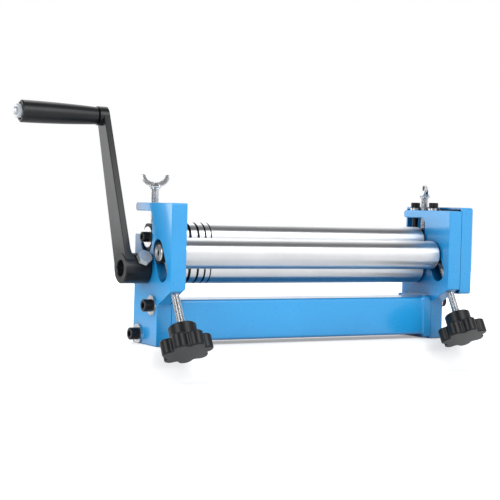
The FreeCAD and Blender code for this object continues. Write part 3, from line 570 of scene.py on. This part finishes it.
sheet = bmesh.new()
bmesh.ops.create_grid(sheet, x_segments=floor_cells, y_segments=floor_cells, size=floor_half)
for vert in sheet.verts:
    front_drop = front_fall * eased((front_edge - vert.co.y) / front_slope)
    left_drop = left_fall * eased((left_edge - vert.co.x) / left_slope)
    vert.co.z = -max(front_drop, left_drop)
floor_mesh = bpy.data.meshes.new("floor")
sheet.to_mesh(floor_mesh)
sheet.free()
floor_mesh.shade_smooth()
floor_mesh.materials.append(floor_material)
floor = bpy.data.objects.new("floor", floor_mesh)
bpy.context.scene.collection.objects.link(floor)


# Four soft boxes light it: in front, overhead behind, at the left and low at the
# left behind. Each is a square panel turned to the machine.
def soft_box(name, place, aim, size, power):
    """A square panel of light that faces the aim."""
    lamp = bpy.data.lights.new(name, "AREA")
    lamp.shape = "SQUARE"
    lamp.size = size
    lamp.energy = power
    box = bpy.data.objects.new(name, lamp)
    box.rotation_mode = "QUATERNION"
    box.rotation_quaternion = (Vector(aim) - Vector(place)).to_track_quat("-Z", "Y")
    box.location = place
    bpy.context.scene.collection.objects.link(box)


middle = (0.15, 0, 0.08)
crank_hub = (0, 0, 0.12)
soft_box("front_box", (0.4, -1.3, 1.0), middle, size=0.9, power=9)
soft_box("back_box", (0.1, 0.9, 1.5), middle, size=1.0, power=5)
soft_box("left_box", (-1.3, -0.4, 0.6), middle, size=0.8, power=8)
soft_box("left_back_box", (-0.8, 1.2, 0.35), crank_hub, size=0.6, power=3.2)

# The room is white where it is seen. What shines mirrors a room that is dimmer
# at the left, with a dark gap overhead that runs along the rollers and gives
# them their bands.
felt_strength = 0.78
wall_brightness = ((-180, 0.90), (50, 1.0), (58, 0.10), (84, 0.13), (100, 0.24), (110, 0.90))
side_from, side_to = -0.35, 0.15
side_dim, side_bright = 0.28, 1.35
room = bpy.data.worlds.new("room")
bpy.context.scene.world = room
room.use_nodes = True
tree = room.node_tree
tree.nodes.clear()
output = tree.nodes.new("ShaderNodeOutputWorld")
rays = tree.nodes.new("ShaderNodeLightPath")
seen = tree.nodes.new("ShaderNodeBackground")
seen.inputs["Color"].default_value = (1, 1, 1, 1)
seen.inputs["Strength"].default_value = 1.0
toward = tree.nodes.new("ShaderNodeTexCoord")
parts = tree.nodes.new("ShaderNodeSeparateXYZ")
tree.links.new(toward.outputs["Generated"], parts.inputs["Vector"])
forward = tree.nodes.new("ShaderNodeMath")
forward.operation = "MULTIPLY"
forward.inputs[1].default_value = -1
tree.links.new(parts.outputs["Y"], forward.inputs[0])
rise = tree.nodes.new("ShaderNodeMath")
rise.operation = "ARCTAN2"
tree.links.new(parts.outputs["Z"], rise.inputs[0])
tree.links.new(forward.outputs["Value"], rise.inputs[1])
turn = tree.nodes.new("ShaderNodeMapRange")
turn.inputs["From Min"].default_value = -math.pi
turn.inputs["From Max"].default_value = math.pi
tree.links.new(rise.outputs["Value"], turn.inputs["Value"])
stops = [((degrees + 180) / 360, (level, level, level)) for degrees, level in wall_brightness]
walls = ramp(tree, turn.outputs["Result"], stops)
side = tree.nodes.new("ShaderNodeMapRange")
side.inputs["From Min"].default_value = side_from
side.inputs["From Max"].default_value = side_to
side.inputs["To Min"].default_value = side_dim
side.inputs["To Max"].default_value = side_bright
tree.links.new(parts.outputs["X"], side.inputs["Value"])
mirrored = tree.nodes.new("ShaderNodeBackground")
tree.links.new(walls, mirrored.inputs["Color"])
tree.links.new(side.outputs["Result"], mirrored.inputs["Strength"])
felt = tree.nodes.new("ShaderNodeBackground")
felt.inputs["Color"].default_value = (1, 1, 1, 1)
felt.inputs["Strength"].default_value = felt_strength
unseen = tree.nodes.new("ShaderNodeMixShader")
tree.links.new(rays.outputs["Is Glossy Ray"], unseen.inputs["Fac"])
tree.links.new(felt.outputs["Background"], unseen.inputs[1])
tree.links.new(mirrored.outputs["Background"], unseen.inputs[2])
choose = tree.nodes.new("ShaderNodeMixShader")
tree.links.new(rays.outputs["Is Camera Ray"], choose.inputs["Fac"])
tree.links.new(unseen.outputs["Shader"], choose.inputs[1])
tree.links.new(seen.outputs["Background"], choose.inputs[2])
tree.links.new(choose.outputs["Shader"], output.inputs["Surface"])

# The camera stands a little over a metre away, to the front left and about as
# high as the side frames, and looks slightly down with a short telephoto lens.
camera_place = Vector((-0.5319, -1.1262, 0.1299))
camera_heading = math.radians(29.56)
camera_dip = math.radians(1.67)
camera_tilt = math.radians(1.49)
ahead = Vector((
    math.sin(camera_heading) * math.cos(camera_dip),
    math.cos(camera_heading) * math.cos(camera_dip),
    -math.sin(camera_dip),
))
level_right = Vector((math.cos(camera_heading), -math.sin(camera_heading), 0))
level_up = level_right.cross(ahead)
camera_right = level_right * math.cos(camera_tilt) + level_up * math.sin(camera_tilt)
camera_up = level_up * math.cos(camera_tilt) - level_right * math.sin(camera_tilt)
camera_data = bpy.data.cameras.new("camera")
camera_data.sensor_width = 36
camera_data.lens = 92.55
camera_data.clip_start = 0.05
camera_data.clip_end = 50
camera = bpy.data.objects.new("camera", camera_data)
camera.matrix_world = (
    Matrix.Translation(camera_place)
    @ Matrix((camera_right, camera_up, -ahead)).transposed().to_4x4()
)
bpy.context.scene.collection.objects.link(camera)
bpy.context.scene.camera = camera
bpy.context.scene.view_settings.view_transform = "Standard"
